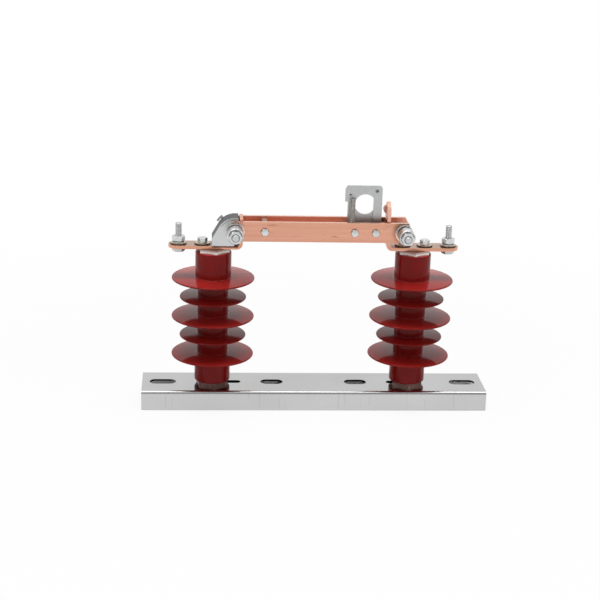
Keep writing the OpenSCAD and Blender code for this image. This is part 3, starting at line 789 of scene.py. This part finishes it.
def bow(a, b, c):
    """Points of a curve from a to c that is drawn towards b."""
    a, b, c = np.array(a), np.array(b), np.array(c)
    steps = np.linspace(0, 1, BOW_STEPS)
    return [tuple((1 - t) ** 2 * a + 2 * t * (1 - t) * b + t * t * c) for t in steps]


def housing_outline(low, high):
    """Radius and height along the skin, from the bottom socket over the sheds to the top socket."""
    centre = (low + high) / 2
    line = [(SOCKET, low)] + bow((END - END_EDGE, low), (END, low), (END, low + END_EDGE))
    for k in range(-SHEDS_EACH_WAY, SHEDS_EACH_WAY + 1):
        z = centre + k * SHED_PITCH
        rim = (LARGE_SHED if k % 2 == 0 else SMALL_SHED) - SHED_RIM
        below = END if k == -SHEDS_EACH_WAY else STEM
        above = END if k == SHEDS_EACH_WAY else STEM
        root = z + SHED_FALL + SHED_RIM
        line += bow((below, z - FILLET), (below, z), (below + FILLET, z))
        line += [(rim + SHED_RIM * math.cos(a), z + SHED_RIM * math.sin(a)) for a in RIM_ANGLES]
        line += bow((above + FILLET, root), (above, root), (above, root + FILLET))
    line += bow((END, high - END_EDGE), (END, high), (END - END_EDGE, high)) + [(SOCKET, high)]
    return np.array(line)


def add_housing(node):
    middle, low, high = middle_of(node)
    line = housing_outline(low[2], high[2])
    along = np.gradient(line, axis=0)
    along /= np.linalg.norm(along, axis=1)[:, None]
    out = np.stack([along[:, 1], -along[:, 0]], axis=-1)
    seams = [PARTING_AT, PARTING_AT + TAU / 2]
    even = np.arange(HOUSING_COLUMNS) / HOUSING_COLUMNS * TAU
    angle = np.sort(np.concatenate([even] + [seam + PARTING_COLUMNS for seam in seams]))
    rise = np.zeros_like(angle)
    for seam in seams:
        rise += PARTING_RISE * np.clip(1 - np.abs(np.degrees(angle - seam)), 0, 1)
    section = line[:, None, :] + out[:, None, :] * rise[None, :, None]
    x = middle[0] + section[..., 0] * np.cos(angle)
    y = middle[1] + section[..., 0] * np.sin(angle)
    add_piece("moulded_" + node, [np.stack([x, y, section[..., 1]], axis=-1)], node)


add_terminal_bolts()
for pivot in PIVOTS:
    add_pivot_bolt(pivot + "_bolt")
    add_cup_spring(pivot + "_spring")
for bolt_node in SMALL_BOLTS:
    add_small_bolt(bolt_node)
add_latch_spring()
for post in POSTS:
    add_housing(post + "_post_housing")


# Camera at the photograph's angle

CAMERA_AT = Vector((-0.1874, -2.0792, 0.8432))
CAMERA_YAW = math.radians(4.48)
CAMERA_PITCH = math.radians(18.077)
CAMERA_ROLL = math.radians(1.804)
FOCAL_PIXELS = 1450.5
FRAME_PIXELS = 600
SENSOR = 36.0


def add_camera():
    level = math.cos(CAMERA_PITCH)
    ahead = Vector((math.sin(CAMERA_YAW) * level, math.cos(CAMERA_YAW) * level, -math.sin(CAMERA_PITCH)))
    right = Vector((math.cos(CAMERA_YAW), -math.sin(CAMERA_YAW), 0))
    up = right.cross(ahead)
    rolled_right = right * math.cos(CAMERA_ROLL) + up * math.sin(CAMERA_ROLL)
    rolled_up = up * math.cos(CAMERA_ROLL) - right * math.sin(CAMERA_ROLL)
    data = bpy.data.cameras.new("camera")
    data.sensor_width = SENSOR
    data.lens = FOCAL_PIXELS / FRAME_PIXELS * SENSOR
    camera = add_object("camera", data)
    turn = Matrix((rolled_right, rolled_up, -ahead)).transposed()
    camera.matrix_world = Matrix.Translation(CAMERA_AT) @ turn.to_4x4()
    bpy.context.scene.camera = camera


# Floor, sky and lamps

FLOOR_REACH = 30.0
FLOOR_LEVEL = -0.2 * MM
FLOOR_UNSEEN = grey(0.62)
FLOOR_SEEN = grey(0.9)
# share of the floor that is plain white to the eye, beside the object and further away
GLOW_NEAR = 0.9
GLOW_FAR = 1.0
NEAR = 0.4
FAR = 1.1


def add_floor():
    square = ((-1, -1), (1, -1), (1, 1), (-1, 1))
    corners = [(x * FLOOR_REACH, y * FLOOR_REACH, FLOOR_LEVEL) for x, y in square]
    mesh = bpy.data.meshes.new("floor")
    mesh.from_pydata(corners, [], [(0, 1, 2, 3)])
    floor = add_object("floor", mesh)
    f = Finish("pale_floor")
    f.tree.nodes.remove(f.shader)
    seen = f.seen()
    paper = f.add("ShaderNodeBsdfDiffuse")
    f.feed(paper.inputs["Color"], f.blend(seen, FLOOR_UNSEEN, FLOOR_SEEN))
    glow = f.add("ShaderNodeEmission")
    glow.inputs["Color"].default_value = (1, 1, 1, 1)
    # the floor inside the channel lies in its shade
    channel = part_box("base_channel")[1]
    x = f.size(f.place("X"))
    y = f.size(f.place("Y"))
    under = f.times(f.below(x, channel[0]), f.below(y, channel[1]))
    share = f.spread(f.distance(x, y), GLOW_NEAR, GLOW_FAR, NEAR, FAR)
    share = f.times(share, f.minus(1.0, under))
    mix = f.add("ShaderNodeMixShader")
    f.feed(mix.inputs["Fac"], f.times(seen, share))
    f.feed(mix.inputs[1], paper.outputs[0])
    f.feed(mix.inputs[2], glow.outputs[0])
    f.feed(f.tree.nodes["Material Output"].inputs["Surface"], mix.outputs[0])
    mesh.materials.append(f.material)


# brightness of the studio by the height of the direction, from the horizon up
SKY = [(0.0, 1.0), (0.5, 1.0), (0.6, 0.5), (0.74, 0.5), (0.84, 1.7), (1.0, 1.7)]
# share of that brightness for rays that only carry light
SKY_UNSEEN = 0.28
# share of it on the camera's side, rising to all of it between these two depths of the direction
SKY_FRONT = 0.45
FRONT_FROM = -0.6
FRONT_TO = 0.1


def add_sky():
    world = bpy.data.worlds.new("studio")
    bpy.context.scene.world = world
    world.use_nodes = True
    world.node_tree.nodes.clear()
    g = Graph(world.node_tree)
    direction = g.add("ShaderNodeTexCoord").outputs["Generated"]
    strongest = max(level for _, level in SKY)
    ramp = g.add("ShaderNodeValToRGB")
    stops = ramp.color_ramp.elements
    while len(stops) < len(SKY):
        stops.new(0.5)
    for stop, (height, level) in zip(stops, SKY):
        stop.position = height
        stop.color = (*grey(level / strongest), 1)
    g.feed(ramp.inputs["Fac"], g.axis(direction, "Z"))
    side = g.spread(g.axis(direction, "Y"), SKY_FRONT, 1.0, FRONT_FROM, FRONT_TO)
    # the white backdrop is there for what is seen, and lights little by itself
    part = g.plus(g.times(g.seen(), 1 - SKY_UNSEEN), SKY_UNSEEN)
    background = g.add("ShaderNodeBackground")
    g.feed(background.inputs["Color"], ramp.outputs["Color"])
    g.feed(background.inputs["Strength"], g.times(side, strongest, part))
    g.feed(g.add("ShaderNodeOutputWorld").inputs["Surface"], background.outputs[0])


LIT_POINT = Vector((0.0, 0.0, 0.18))


def add_lamp(name, at, size, power, mirrored=True):
    data = bpy.data.lights.new(name, "AREA")
    data.shape = "RECTANGLE"
    data.size, data.size_y = size
    data.energy = power
    lamp = add_object(name, data)
    lamp.visible_glossy = mirrored
    lamp.location = at
    lamp.rotation_euler = (LIT_POINT - Vector(at)).to_track_quat("-Z", "Y").to_euler()


add_camera()
add_floor()
add_sky()
add_lamp("key", at=(-1.3, -1.6, 1.9), size=(1.4, 1.0), power=10)
add_lamp("fill", at=(1.6, -1.3, 1.2), size=(1.2, 1.2), power=6)
add_lamp("overhead", at=(0.0, -0.1, 2.3), size=(1.8, 1.0), power=11)
add_lamp("overhead_soft", at=(0.0, -0.1, 2.3), size=(1.8, 1.0), power=30, mirrored=False)

bpy.context.scene.view_settings.view_transform = "Standard"
